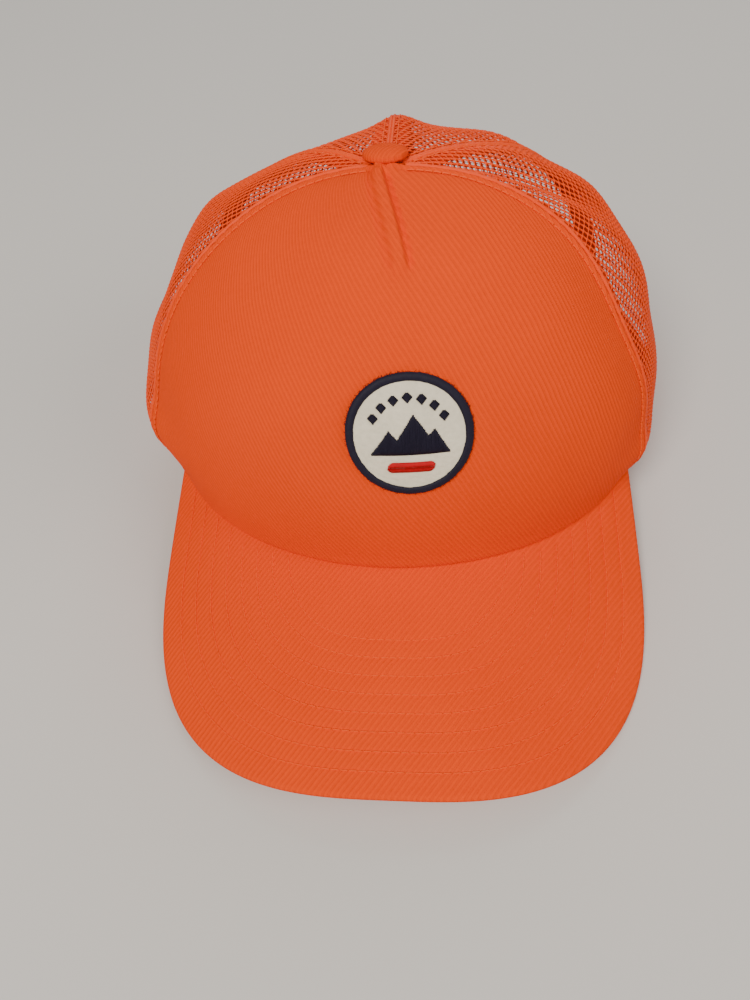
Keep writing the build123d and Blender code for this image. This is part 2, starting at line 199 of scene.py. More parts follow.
def hem_plan(angle):
    depth = np.where(np.cos(angle) > 0, hem_front, hem_back)
    return hem_half_width * np.sin(angle), -depth * np.cos(angle)


def visor_edge(turn, inset=0.0):
    """Front edge of the visor, or a line inside it, for a turn of -90 to 90 degrees in radians."""
    power = 2 / visor_corner_power
    x = (visor_half_width - inset) * squared(np.sin(turn), power)
    return x, visor_widest_y - (visor_depth - inset) * np.maximum(np.cos(turn), 0) ** power


def visor_level(x, y, depth=0.0):
    arch = np.sqrt((visor_arch_radius - depth) ** 2 - x * x) - visor_arch_radius
    return visor_rise * (y + hem_front) + arch


root_level = -visor_level(*visor_edge(np.radians(np.linspace(-90, 90, 25))), visor_thickness).min()


def hem_on_visor(angle):
    return root_level + hem_gap + visor_level(*hem_plan(angle))


def hem_height(angle):
    """Bottom edge of the crown over the table: it follows the visor, then eases down."""
    turn = from_front(angle)
    span = hem_flat_from - visor_end
    part = np.clip((turn - visor_end) / span, 0, 1)
    end = hem_on_visor(visor_end)
    step = 0.01
    slope = (end - hem_on_visor(visor_end - step)) / step * span
    behind = hem_back_level + (1 - part) ** 2 * ((1 + 2 * part) * (end - hem_back_level) + part * slope)
    return np.where(turn <= visor_end, hem_on_visor(np.minimum(turn, visor_end)), behind)


def surface(angle, rise):
    """Outer surface of the crown: rise is 0 at the hem and 1 at the apex."""
    power = round_value(roundness, angle)
    turn = math.pi / 2 * np.clip(rise, 0, 1) ** (power / 2)
    swell = 1 + round_value(bulge, angle) * np.sin(math.pi * np.clip(rise, 0, 1))
    reach = np.maximum(np.cos(turn), 0) ** (2 / power) * swell
    x, y = hem_plan(angle)
    low = hem_height(angle)
    return np.stack([
        apex_shift[0] * (1 - reach) + x * reach,
        apex_shift[1] * (1 - reach) + y * reach,
        low + (crown_height - low) * np.sin(turn) ** (2 / power),
    ], -1)


def normal(angle, rise):
    step = 0.002
    rise = np.clip(rise, step, 1 - 2 * step)
    across = surface(angle + step, rise) - surface(angle - step, rise)
    along = surface(angle, rise + step) - surface(angle, rise - step)
    return unit(np.cross(across, along))


def crown(angle, rise, depth=0.0):
    """Point at a depth under the outer surface; a negative depth stands proud of it."""
    angle, rise = np.broadcast_arrays(angle, rise)
    depth = np.broadcast_to(depth, angle.shape)
    return surface(angle, rise) + wear(angle, rise) - normal(angle, rise) * depth[..., None]


def radius(angle, rise):
    point = surface(angle, rise)
    return np.hypot(point[..., 0] - apex_shift[0], point[..., 1] - apex_shift[1])


def rise_at_height(angle, height):
    power = round_value(roundness, angle)
    part = np.clip(height / (crown_height - hem_height(angle)), 0, 1)
    return (np.arcsin(part ** (power / 2)) / (math.pi / 2)) ** (2 / power)


def rise_at_radius(angle, distance):
    low = np.full(np.shape(angle), 0.3)
    high = np.ones(np.shape(angle))
    for _ in range(30):
        middle = (low + high) / 2
        outside = radius(angle, middle) > distance
        low, high = np.where(outside, middle, low), np.where(outside, high, middle)
    return low


def seam(angles, rise):
    """Angle of a seam; the front panel's seam also runs forward of the apex."""
    angle = np.radians(mix(angles[0], angles[1], rise ** 2))
    if angles is front_seam:
        near_apex = np.clip((rise - 0.6) / 0.3, 0, 1)
        angle = angle - seam_lead / np.maximum(radius(angle, rise), 5.0) * near_apex
    return angle


def at_xz(x, z, depth=0.0):
    """Point of the back of the crown that has a given X and Z."""
    angle = np.pi - np.arcsin(np.clip(x / hem_half_width, -0.99, 0.99))
    for _ in range(12):
        rise = rise_at_height(angle, np.maximum(z - hem_height(angle), 0))
        reach = radius(angle, rise) / np.hypot(*hem_plan(angle))
        sine = (x - apex_shift[0] * (1 - reach)) / (hem_half_width * reach)
        angle = np.pi - np.arcsin(np.clip(sine, -0.99, 0.99))
    point = crown(angle, rise, depth)
    point[..., 2] += np.minimum(z - hem_height(angle), 0)
    return point


# Where the cloth of this cap stands out or sinks in: degrees round and rise of the middle, how far each
# spreads, and the amount
slack = (
    (-68, 0.19, 14, 0.075, 4.5), (-92, 0.43, 14, 0.09, -3.0), (-142, 0.63, 17, 0.11, -5.6),
    (66, 0.10, 9, 0.06, 3.4), (88, 0.32, 11, 0.09, -2.2), (111, 0.57, 9, 0.08, 2.2),
    (138, 0.67, 13, 0.08, 2.2), (178, 0.74, 11, 0.07, 3.6), (-109, 0.58, 7, 0.06, 1.2),
    (70, 0.47, 12, 0.17, -2.4), (97, 0.74, 6, 0.14, -2.6), (117, 0.76, 7, 0.12, 1.0),
)
seam_pull = (70, 0.47, 14, 0.17, -5.0)
seam_lead = -1.5
flutter = 0.7
sag_depth = 1.6
sag_reach = 38.0


def spread(angle, rise, spot):
    """Smooth hill of an amount around one place of the crown."""
    middle, middle_rise, wide, tall, amount = spot
    around = (np.degrees(angle) - middle + 180) % 360 - 180
    return amount * bump(around, wide) * bump(rise - middle_rise, tall)


def wear(angle, rise):
    """How far the cloth has moved from its ideal shape: not at all at the hem or the apex."""
    places = surface(angle, rise)
    behind_seam = np.clip((from_front(angle) - seam(front_seam, rise)) / 0.35, 0, 1)
    loose = ease(behind_seam) * np.clip(rise / 0.35, 0, 1)
    outward = sum(spread(angle, rise, spot) for spot in slack) + flutter * noise(places, 50.0, 3, 1) * loose
    fade = np.clip(rise / 0.04, 0, 1) * np.clip((1 - rise) / 0.10, 0, 1)
    aside = np.stack([np.cos(angle), np.sin(angle), 0 * angle], -1)
    shift = normal(angle, rise) * outward[..., None] + aside * spread(angle, rise, seam_pull)[..., None]
    shift = shift * fade[..., None]
    behind_apex = np.clip((places[..., 1] - apex_shift[1] + 9) / 15, 0, 1)
    shift[..., 2] -= sag_depth * ease(behind_apex) * bump(radius(angle, rise), sag_reach)
    return shift


# ---- mesh making

def new_piece(name, points, faces, material, uv=None, body="cap"):
    """Mesh piece from points in millimetres; uv, in millimetres of cloth, goes with the points."""
    mesh = bpy.data.meshes.new(name)
    points = np.asarray(points, float).reshape(-1, 3) * MM
    mesh.from_pydata(points.tolist(), [], [list(map(int, face)) for face in faces])
    mesh.validate()
    if uv is not None:
        layer = mesh.uv_layers.new(name="cloth")
        corners = np.zeros(len(mesh.loops), int)
        mesh.loops.foreach_get("vertex_index", corners)
        layer.data.foreach_set("uv", (np.asarray(uv, float).reshape(-1, 2)[corners] * MM).ravel())
    mesh.polygons.foreach_set("use_smooth", [True] * len(mesh.polygons))
    mesh.materials.append(material)
    piece = bpy.data.objects.new(name, mesh)
    bpy.context.scene.collection.objects.link(piece)
    if body is not None:
        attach(piece, body)
    return piece


def grid_faces(rows, columns, start=0, flip=False, wrap=False):
    index = start + np.arange(rows * columns).reshape(rows, columns)
    if wrap:
        index = np.concatenate([index, index[:, :1]], 1)
    faces = np.stack([index[:-1, :-1], index[:-1, 1:], index[1:, 1:], index[1:, :-1]], -1).reshape(-1, 4)
    return faces[:, ::-1] if flip else faces


def tube_faces(rings, sides, flip=False):
    """Faces of a closed tube whose points go ring by ring, with a cap on each end."""
    count = rings * sides
    start, end = list(range(sides)), list(range(count - sides, count))
    caps = [start, end[::-1]] if flip else [start[::-1], end]
    return grid_faces(rings, sides, wrap=True, flip=flip).tolist() + caps


def border(rows, columns):
    """Indices round the edge of a grid, in order."""
    index = np.arange(rows * columns).reshape(rows, columns)
    return np.concatenate([index[0, :-1], index[:-1, -1], index[-1, :0:-1], index[:0:-1, 0]])


def shell(outer, inner, bulge_out=0.35):
    """Closed shell between two grids, with a rounded edge all round."""
    rows, columns = outer.shape[:2]
    count = rows * columns
    edge = border(rows, columns)
    outer_edge = outer.reshape(-1, 3)[edge]
    inner_edge = inner.reshape(-1, 3)[edge]
    index = np.arange(count).reshape(rows, columns)
    nearest = np.clip(index // columns, 1, rows - 2) * columns + np.clip(index % columns, 1, columns - 2)
    away = unit(outer_edge - outer.reshape(-1, 3)[nearest.ravel()[edge]])
    thick = np.linalg.norm(outer_edge - inner_edge, axis=-1, keepdims=True)
    middle = (outer_edge + inner_edge) / 2 + away * thick * bulge_out
    points = np.concatenate([outer.reshape(-1, 3), inner.reshape(-1, 3), middle])
    around = np.roll(np.arange(len(edge)), -1)
    ring = 2 * count + np.arange(len(edge))
    upper = np.stack([edge, ring, ring[around], edge[around]], 1)
    lower = np.stack([ring, edge + count, edge[around] + count, ring[around]], 1)
    faces = np.concatenate([
        grid_faces(rows, columns), grid_faces(rows, columns, count, flip=True), upper, lower])
    return points, faces, edge


def shell_piece(name, outer, inner, material, uv, bulge_out=0.35):
    points, faces, edge = shell(outer, inner, bulge_out)
    flat = uv.reshape(-1, 2)
    return new_piece(name, points, faces, material, np.concatenate([flat, flat, flat[edge]]))


def layer(name, angle, rise, depths, material, uv):
    """Layer of the crown between an outer and an inner depth, each a number or one for each point."""
    return shell_piece(name, crown(angle, rise, depths[0]), crown(angle, rise, depths[1]), material, uv)


def tube(path, size, sides=8):
    """Points and faces of a closed tube along a path; size is a radius, or one for each point."""
    path = np.asarray(path, float)
    ahead = unit(np.gradient(path, axis=0))
    up = np.tile([0.0, 0.0, 1.0], (len(path), 1))
    steep = np.abs(ahead[:, 2]) > 0.95
    up[steep] = [1.0, 0.0, 0.0]
    side = unit(np.cross(ahead, up))
    top = np.cross(side, ahead)
    turn = full_turn(sides)
    size = np.broadcast_to(size, len(path))
    ring = np.cos(turn)[None, :, None] * side[:, None] + np.sin(turn)[None, :, None] * top[:, None]
    points = path[:, None] + ring * size[:, None, None]
    return points.reshape(-1, 3), tube_faces(len(path), sides, flip=True)


def gather(shapes):
    """Join shapes, each its points and faces, into one."""
    points, faces, start = [], [], 0
    for shape_points, shape_faces in shapes:
        points.append(shape_points)
        faces += [[corner + start for corner in face] for face in shape_faces]
        start += len(shape_points)
    return np.concatenate(points), faces


# One stitch: how far its points are along it and, in thread sizes, how far they stand out
stitch_profile = np.array([-0.35, 0.10, 0.32, 0.40, 0.32, 0.10, -0.35])
stitch_along = np.array([-0.42, -0.36, -0.2, 0.0, 0.2, 0.36, 0.42])


def stitch_row(path, outward, pitch=3.0, size=0.26):
    """Single stitches along a path; outward is the surface's direction at each point of the path."""
    points = even_points(path, max(int(round(path_length(path)[-1] / pitch)), 1) + 1)
    far = np.linalg.norm(path[None] - ((points[1:] + points[:-1]) / 2)[:, None], axis=-1).argmin(1)
    up = unit(outward[far])
    shapes = []
    for start, end, lift in zip(points[:-1], points[1:], up):
        middle = (start + end) / 2
        line = middle + stitch_along[:, None] * (end - start) + stitch_profile[:, None] * size * 1.2 * lift
        shapes.append(tube(line, size, 6))
    return shapes


# ---- materials

class Nodes:
    """Small helper that adds nodes to a material and links them."""

    def __init__(self, name, color, roughness, sheen=0.0, specular=0.3):
        self.material = bpy.data.materials.new(name)
        self.material.use_nodes = True
        self.tree = self.material.node_tree
        self.shader = self.tree.nodes["Principled BSDF"]
        self.shader.inputs["Base Color"].default_value = (*color, 1)
        self.shader.inputs["Roughness"].default_value = roughness
        self.shader.inputs["Sheen Weight"].default_value = sheen
        self.shader.inputs["Sheen Roughness"].default_value = 0.5
        self.shader.inputs["Specular IOR Level"].default_value = specular

    def feed(self, node, key, value):
        """Link an input to an output of another node, or set it to a constant."""
        if isinstance(value, bpy.types.NodeSocket):
            self.tree.links.new(value, node.inputs[key])
        else:
            node.inputs[key].default_value = value

    def add(self, kind, **inputs):
        node = self.tree.nodes.new(kind)
        for name, value in inputs.items():
            self.feed(node, name, value)
        return node

    def math(self, operation, *values, clamp=False):
        node = self.tree.nodes.new("ShaderNodeMath")
        node.operation = operation
        node.use_clamp = clamp
        for key, value in enumerate(values):
            self.feed(node, key, value)
        return node.outputs[0]

    def cloth(self):
        node = self.tree.nodes.new("ShaderNodeUVMap")
        node.uv_map = "cloth"
        split = self.add("ShaderNodeSeparateXYZ", Vector=node.outputs[0])
        return split.outputs[0], split.outputs[1]

    def noise(self, scale, detail=3.0):
        place = self.tree.nodes.new("ShaderNodeTexCoord").outputs["Object"]
        return self.add("ShaderNodeTexNoise", Scale=scale, Detail=detail, Vector=place).outputs[0]

    def wave(self, along, pitch, phase=0.0):
        """Sine of 0 to 1 that repeats every pitch metres."""
        turn = self.math("MULTIPLY_ADD", along, 2 * math.pi / pitch, phase)
        return self.math("MULTIPLY_ADD", self.math("SINE", turn), 0.5, 0.5)

    def tint(self, factor, dark, light):
        ramp = self.tree.nodes.new("ShaderNodeValToRGB")
        ramp.color_ramp.elements[0].color = (*dark, 1)
        ramp.color_ramp.elements[1].color = (*light, 1)
        self.feed(ramp, "Fac", factor)
        self.tree.links.new(ramp.outputs[0], self.shader.inputs["Base Color"])

    def relief(self, height, distance, strength=1.0):
        node = self.add("ShaderNodeBump", Height=height, Strength=strength, Distance=distance)
        self.tree.links.new(node.outputs[0], self.shader.inputs["Normal"])


def shade(color, factor):
    return tuple(min(channel * factor, 1) for channel in color)


orange = (0.98, 0.070, 0.002)
thread_orange = (1.0, 0.095, 0.004)


def twill(name, slope, pitch):
    """Twill: ribs across the cloth at a slope in radians, broken up by the crossing yarns; the grooves
    between the ribs are painted darker as shade.
    """
    nodes = Nodes(name, orange, 0.85, specular=0.08)
    u, v = nodes.cloth()
    wobble = nodes.math("MULTIPLY", nodes.noise(60.0, 2.0), 0.0012)
    across = nodes.math("ADD", nodes.math("MULTIPLY", u, math.sin(slope)), wobble)
    across = nodes.math("MULTIPLY_ADD", v, -math.cos(slope), across)
    along = nodes.math("ADD", nodes.math("MULTIPLY", u, math.cos(slope)),
                       nodes.math("MULTIPLY", v, math.sin(slope)))
    rib = nodes.wave(across, pitch * MM)
    yarn = nodes.wave(nodes.math("MULTIPLY_ADD", across, 0.7, along), 0.55 * MM)
    fine = nodes.wave(across, pitch * MM / 3)
    height = nodes.math("ADD", nodes.math("MULTIPLY", rib, 0.62), nodes.math("MULTIPLY", yarn, 0.2))
    height = nodes.math("MULTIPLY_ADD", fine, 0.18, height)
    patchy = nodes.noise(25.0, 4.0)
    speck = nodes.noise(900.0, 2.0)
    # Painted shade: the colour follows the height of the ribs and yarns, so the grooves are painted darker as
    # well as bumped; the patchy and speck noise add tone that differs at random.
    factor = nodes.math("MULTIPLY_ADD", patchy, 0.35, nodes.math("MULTIPLY", height, 0.45))
    factor = nodes.math("MULTIPLY_ADD", speck, 0.3, factor, clamp=True)
    nodes.tint(factor, shade(orange, 0.68), shade(orange, 1.12))
    nodes.relief(height, 0.28 * MM, 0.9)
    return nodes.material


def yarn_cloth(name, color, pitch, dark=0.72, roughness=0.85, sheen=0.0):
    """Plain woven or knitted cloth with crossing yarns; the hollows between the yarns are painted darker as
    shade.
    """
    nodes = Nodes(name, color, roughness, sheen=sheen, specular=0.1)
    u, v = nodes.cloth()
    warp = nodes.wave(u, pitch * MM)
    weft = nodes.wave(v, pitch * MM, 1.57)
    height = nodes.math("MULTIPLY", nodes.math("ADD", warp, weft), 0.5)
    # Painted shade: the colour follows the height of the crossing yarns, so their hollows are painted darker;
    # the noise adds tone that differs at random.
    factor = nodes.math("MULTIPLY_ADD", height, 0.5, nodes.math("MULTIPLY", nodes.noise(40.0, 4.0), 0.5))
    nodes.tint(factor, shade(color, dark), shade(color, 1.08))
    nodes.relief(height, 0.12 * MM, 0.8)
    return nodes.material


def fiber(name, color, scale=1500.0, roughness=0.5, sheen=0.0, dark=0.75, relief=0.05):
    """Thread, felt or another fibrous finish that needs no cloth direction."""
    nodes = Nodes(name, color, roughness, sheen=sheen, specular=0.2)
    fine = nodes.noise(scale, 3.0)
    broad = nodes.noise(120.0, 2.0)
    factor = nodes.math("ADD", nodes.math("MULTIPLY", fine, 0.6), nodes.math("MULTIPLY", broad, 0.4))
    nodes.tint(factor, shade(color, dark), shade(color, 1.12))
    nodes.relief(fine, relief * MM, 0.9)
    return nodes.material


def moulded(name, color):
    """Satin moulded plastic."""
    nodes = Nodes(name, color, 0.38, specular=0.5)
    grain = nodes.noise(1800.0, 2.0)
    broad = nodes.noise(70.0, 3.0)
    nodes.tint(broad, shade(color, 0.9), shade(color, 1.05))
    nodes.relief(grain, 0.03 * MM, 0.5)
    rough = nodes.math("MULTIPLY_ADD", nodes.noise(300.0, 2.0), 0.2, 0.28)
    nodes.tree.links.new(rough, nodes.shader.inputs["Roughness"])
    return nodes.material


front_twill = twill("front_twill", math.radians(118), 1.5)
visor_twill = twill("visor_twill", math.radians(52), 1.6)
button_twill = twill("button_twill", math.radians(60), 1.2)
net_yarn = fiber("net_yarn", (1.0, 0.075, 0.003), 1200.0, dark=0.78, relief=0.04)
thread = fiber("thread", thread_orange, 2500.0, dark=0.8, relief=0.03)
binding_cloth = yarn_cloth("binding_cloth", (0.92, 0.060, 0.002), 0.45)
tape_cloth = yarn_cloth("tape_cloth", (0.95, 0.065, 0.002), 0.6)
band_cloth = yarn_cloth("band_cloth", (0.92, 0.065, 0.003), 0.7, sheen=0.05)
foam_cloth = yarn_cloth("foam_cloth", (0.90, 0.10, 0.012), 0.8, dark=0.85, sheen=0.05)
felt = fiber("felt", (0.83, 0.75, 0.58), 700.0, roughness=0.95, sheen=0.1, dark=0.72, relief=0.2)
navy_thread = fiber("navy_thread", (0.014, 0.011, 0.028), roughness=0.6, dark=0.5)
red_thread = fiber("red_thread", (0.62, 0.006, 0.012), dark=0.6)
strap_plastic = moulded("strap_plastic", (0.95, 0.075, 0.004))
board_plastic = moulded("board_plastic", (0.80, 0.80, 0.77))
rivet_metal = moulded("rivet_metal", (0.62, 0.62, 0.64))
label_cloth = yarn_cloth("label_cloth", (0.86, 0.85, 0.81), 0.35, dark=0.9, roughness=0.55)


# ---- front panel

def meridian(angle, count=400):
    """Rise against the length up the crown at one angle."""
    rise = np.linspace(0, 1, count)
    return rise, path_length(surface(np.full(count, angle), rise))


def even_rises(top_radius, count):
    """Rises whose spacing shrinks near the apex, from the hem to a radius."""
    top = rise_at_radius(np.array(0.0), top_radius)
    squeeze = (1 - top) ** 0.8
    return 1 - (1 - np.linspace(0, 1, count) * (1 - squeeze)) ** 1.25


def cloth_uv(angle, rise, centre=0.0):
    table, length = meridian(centre)
    return np.stack([(angle - centre) * radius(angle, rise), np.interp(rise, table, length)], -1)


def front_grid(columns, rows, top_radius, margin):
    """Angles and rises over the front panel; margin is the distance kept from the seams."""
    rise = even_rises(top_radius, rows)[:, None] * np.ones(columns)
    across = np.linspace(-1, 1, columns)
    across = 1.15 * across - 0.15 * across ** 3
    edge = seam(front_seam, rise) + margin / radius(seam(front_seam, rise), rise)
    return edge * across, rise


pleat_height = 1.35
hollow_depth = 0.8
crease_depth = 1.5
crease_step = 0.6
fan_height = 0.32
seam_puff = 0.6
hem_pull = 1.3
crest_height = 1.3


def dart_shape(angle, rise):
    """Raised pleat in front of the button: soft on the wearer's right, with a deep crease on the left."""
    away = radius(angle, rise)
    end = button_radius + dart_length
    along = (away - button_radius) / dart_length
    aside = (angle - patch_angle) * away + mix(3.0, -1.2, along)
    on_dart = logistic((end - away) / 0.6)
    ridge = logistic((aside + 2.0) / 0.45) * logistic((2.0 - aside) / 0.16)
    past = np.maximum(aside - 2.0, 0)
    relief = pleat_height * ridge - hollow_depth * bump(aside + 3.3, 1.0)
    relief -= crease_depth * bump(aside - 2.8, 0.9)
    relief -= crease_step * (1 - along) * np.minimum(past / 1.5, 1) * np.exp(-past / 9)
    pucker = 0.16 * np.sin(away * 2 * math.pi / 2.3) * bump(aside - 4.6, 1.8)
    relief += pucker - 0.25 * bump(aside - 0.2, 0.35)
    beyond = np.hypot(aside, np.maximum(away - end + 1.5, 0))
    swirl = np.cos(6 * np.arctan2(aside, away - end + 1.5) + 0.6)
    fan = fan_height * swirl * np.exp(-beyond / 8) * (1 - on_dart) * np.clip(beyond / 2, 0, 1)
    clear_of_apex = np.clip((away - 1.5) / 3.5, 0, 1)
    return relief * on_dart * clear_of_apex + fan - 0.5 * bump(away - end - 1.5, 1.6) * bump(aside, 2.6)


def front_relief(angle, rise):
    """The twill's height over the plain crown: puffed at the seams, drawn in at the hem, and the dart."""
    edge = (seam(front_seam, rise) - np.abs(angle)) * radius(angle, rise)
    places = surface(angle, rise)
    height = places[..., 2] - hem_height(angle)
    relief = seam_puff * bump(edge - 1.6, 1.1) - 0.3 * bump(edge - 3.3, 0.55) - 0.9 * bump(edge, 0.7)
    relief += 0.12 * noise(places, 4.5, 11, 1) * bump(edge - 2, 3.5)
    relief -= hem_pull * bump(height, 1.3)
    relief += 0.22 * bump(height - 4.0, 2.5)
    relief += 0.28 * noise(places, 60.0, 5) * np.clip(edge / 12, 0, 1)
    relief += crest_height * bump(radius(angle, rise) - 2.2, 3.2)
    return relief + dart_shape(angle, rise)


angle, rise = front_grid(210, 170, 0.3, -0.1)
depths = (-front_relief(angle, rise), front_twill_depth)
front_panel = layer("front_panel_twill", angle, rise, depths, front_twill, cloth_uv(angle, rise))
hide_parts("front_panel")

angle, rise = front_grid(90, 70, 9.0, -3.0)
quilt = 0.12 * noise(surface(angle, rise), 14.0, 21)
depths = (foam_depths[0], foam_depths[1] + quilt)
lining = layer("front_foam_lining", angle, rise, depths, foam_cloth, cloth_uv(angle, rise))
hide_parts("front_panel_backing")


# ---- netting

wale_pitch = 2.4
course_pitch = 2.0
net_deep = 0.45
half_wales = 32
net_top_radius = 1.6
side_net_middle = math.radians(95.5)
back_net_middle = math.radians(152.0)
# Edge of a hole in its cell of the netting, as parts of the cell across and up
hole_ring = np.array([
    (0.50, 0.11), (0.82, 0.14), (0.86, 0.50), (0.82, 0.86),
    (0.50, 0.89), (0.18, 0.86), (0.14, 0.50), (0.18, 0.14)])


def netting(name, seam_low, seam_high, side, centre):
    """Knitted netting of one panel: thick wales up the crown, joined by thin courses."""
    table, length = meridian(centre)
    top = rise_at_radius(np.array(centre), net_top_radius)
    courses = int(np.interp(top, table, length) / course_pitch)
    course = np.arange(2 * courses + 1) / 2
    wale = np.arange(-2 * half_wales, 2 * half_wales + 1) / 2
    rise_at = np.interp(course * course_pitch, length, table)
    column, row = np.meshgrid(wale, np.arange(len(course)))
    rises = rise_at[row]
    wander = 0.10 * np.where(np.round(course[row]) % 2 == 0, 1, -1)
    drift = np.radians(2.0) * np.sin(column / 9) / 6
    angles = centre + drift + (column * wale_pitch + wander) / radius(np.full(rises.shape, centre), rises)
    low = seam(seam_low, rises) + 0.15 / radius(angles, rises)
    high = seam(seam_high, rises) - 0.15 / radius(angles, rises)
    middle_angle, middle_rise = angles[1::2, 1::2], rises[1::2, 1::2]
    kept = (middle_angle > low[1::2, 1::2]) & (middle_angle < high[1::2, 1::2])
    middle = surface(side * middle_angle, middle_rise)
    in_arch = (middle[..., 0] / (arch_half_width + 2)) ** 2 + (middle[..., 2] / (arch_height + 2)) ** 2
    kept &= (in_arch > 1) | (middle[..., 1] < 0)
    angles = side * np.clip(angles, low, high)

    on_wale = (np.arange(angles.shape[1]) % 2 == 0)[None, :]
    on_course = (np.arange(angles.shape[0]) % 2 == 0)[:, None]
    raised = np.where(on_wale & on_course, -0.20, np.where(on_wale, -0.08, 0.18))
    lowered = np.where(on_wale & on_course, 0.1, np.where(on_wale, 0.0, -0.16)) + net_deep
    front = crown(angles, rises, raised)
    back = crown(angles, rises, lowered)
    height, width = angles.shape
    nodes = height * width

    cell_row, cell_column = np.nonzero(kept)
    row_0, column_0 = 2 * cell_row, 2 * cell_column
    corners = [(0, 1), (0, 2), (1, 2), (2, 2), (2, 1), (2, 0), (1, 0), (0, 0)]
    outline = np.stack([(row_0 + r) * width + column_0 + c for r, c in corners], 1)
    quad = [(0, 0), (0, 2), (2, 2), (2, 0)]
    corner_angle = [angles[row_0 + r, column_0 + c] for r, c in quad]
    corner_rise = [rises[row_0 + r, column_0 + c] for r, c in quad]
    u, v = hole_ring[:, 0], hole_ring[:, 1]
    weights = [(1 - u) * (1 - v), u * (1 - v), u * v, (1 - u) * v]
    ring_angle = sum(value[:, None] * weight for value, weight in zip(corner_angle, weights))
    ring_rise = sum(value[:, None] * weight for value, weight in zip(corner_rise, weights))
    ring = crown(ring_angle, ring_rise, net_deep / 2)

    cells = len(cell_row)
    ring_index = 2 * nodes + np.arange(cells * 8).reshape(cells, 8)
    after = np.roll(np.arange(8), -1)
    upper = np.stack([outline, outline[:, after], ring_index[:, after], ring_index], -1).reshape(-1, 4)
    lower = np.stack([ring_index, ring_index[:, after], outline[:, after], outline], -1).reshape(-1, 4)
    lower = np.where(lower < 2 * nodes, lower + nodes, lower)
    faces = [upper, lower]
    padded = np.pad(kept, 1)
    sides = (((-1, 0), (7, 0, 1)), ((0, 1), (1, 2, 3)), ((1, 0), (3, 4, 5)), ((0, -1), (5, 6, 7)))
    for (step_row, step_column), run in sides:
        bare = ~padded[cell_row + 1 + step_row, cell_column + 1 + step_column]
        for start, end in zip(run[:-1], run[1:]):
            a, b = outline[bare, start], outline[bare, end]
            faces.append(np.stack([b, a, a + nodes, b + nodes], -1))
    points = np.concatenate([front.reshape(-1, 3), back.reshape(-1, 3), ring.reshape(-1, 3)])
    used, faces = np.unique(np.concatenate(faces), return_inverse=True)
    faces = faces.reshape(-1, 4)
    return new_piece(name, points[used], faces if side > 0 else faces[:, ::-1], net_yarn)


for side, name in ((1, "left"), (-1, "right")):
    net = netting(f"side_netting_{name}", front_seam, side_seam, side, side_net_middle)
    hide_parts(f"side_mesh_{name}")
    net = netting(f"back_netting_{name}", side_seam, back_seam, side, back_net_middle)
    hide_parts(f"back_mesh_{name}")


# ---- seams and tapes

def beside(seam_angles, side, rises, distance):
    """Angles that run at a distance behind a seam."""
    line = seam(seam_angles, rises)
    return side * (line + distance / radius(line, rises))


def seam_path(seam_angles, side, distance, depth, rises):
    angles = beside(seam_angles, side, rises, distance)
    return crown(angles, rises, depth), normal(angles, rises)


def tape(name, seam_angles, side, depths, rises):
    """Tape over a seam inside the crown; depths are its depth before and behind the seam."""
    across = np.linspace(-1, 1, 13)
    rows = rises[:, None] * np.ones(len(across))
    angles = beside(seam_angles, side, rows, across * tape_half_width)
    if side < 0:
        angles = angles[:, ::-1]
        across = across[::-1]
    depth = mix(depths[0], depths[1], logistic(across * 6))[None, :]
    puff = 0.25 * (1 - np.abs(across) ** 4)[None, :] + 0.08 * noise(surface(angles, rows), 7.0, 31)
    depths = (depth, depth + tape_thickness + puff)
    piece = layer(name, angles, rows, depths, tape_cloth, cloth_uv(angles, rows, float(np.mean(angles))))
    return piece


long_rises = even_rises(13.0, 90)
outer_thread, inner_thread = [], []
for side, name in ((1, "left"), (-1, "right")):
    piece = tape(f"front_seam_tape_{name}", front_seam, side, (2.85, 1.15), long_rises)
    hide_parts(f"seam_tape_front_{name}")
    piece = tape(f"side_seam_tape_{name}", side_seam, side, (1.05, 1.05), long_rises)
    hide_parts(f"seam_tape_side_{name}")

    fine_rises = even_rises(9.0, 200)
    path, out = seam_path(front_seam, side, -3.3, -0.02, fine_rises)
    outer_thread += stitch_row(path, out, 2.8)
    for way in (-1, 1):
        path, out = seam_path(side_seam, side, way * back_stitch_offset, -0.1, fine_rises)
        outer_thread += stitch_row(path, out, 2.8, 0.22)
    for seam_angles, depths in ((front_seam, (3.7, 2.0)), (side_seam, (1.95, 1.95))):
        for way, depth in zip((-1, 1), depths):
            path, out = seam_path(seam_angles, side, way * tape_stitch_offset, depth, long_rises)
            inner_thread += stitch_row(path, -out, 2.8, 0.22)

arch_top = rise_at_height(np.array(math.pi), arch_height + arch_binding_width + 0.5)
back_rises = long_rises[long_rises > arch_top]
piece = tape("back_seam_tape", back_seam, 1, (1.05, 1.05), back_rises)
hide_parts("seam_tape_back")
for way in (-1, 1):
    path, out = seam_path(back_seam, 1, way * back_stitch_offset, -0.1, fine_rises[fine_rises > arch_top])
    outer_thread += stitch_row(path, out, 2.8, 0.22)
    path, out = seam_path(back_seam, 1, way * tape_stitch_offset, 1.95, back_rises)
    inner_thread += stitch_row(path, -out, 2.8, 0.22)

# The folded edges of the netting stand up a little along each seam
welts = []
for side in (1, -1):
    for seam_angles, distances in ((front_seam, (0.9,)), (side_seam, (-0.5, 0.5))):
        for distance in distances:
            path, out = seam_path(seam_angles, side, distance, 0.15, fine_rises)
            wobble = 1 + 0.12 * noise(path, 3.0, 41, 1)
            welts.append(tube(path, 0.62 * wobble, 8))
for distance in (-0.5, 0.5):
    path, out = seam_path(back_seam, 1, distance, 0.15, fine_rises[fine_rises > arch_top])
    welts.append(tube(path, 0.62 + 0 * path[:, 0], 8))
welt_piece = new_piece("netting_seam_folds", *gather(welts), net_yarn)

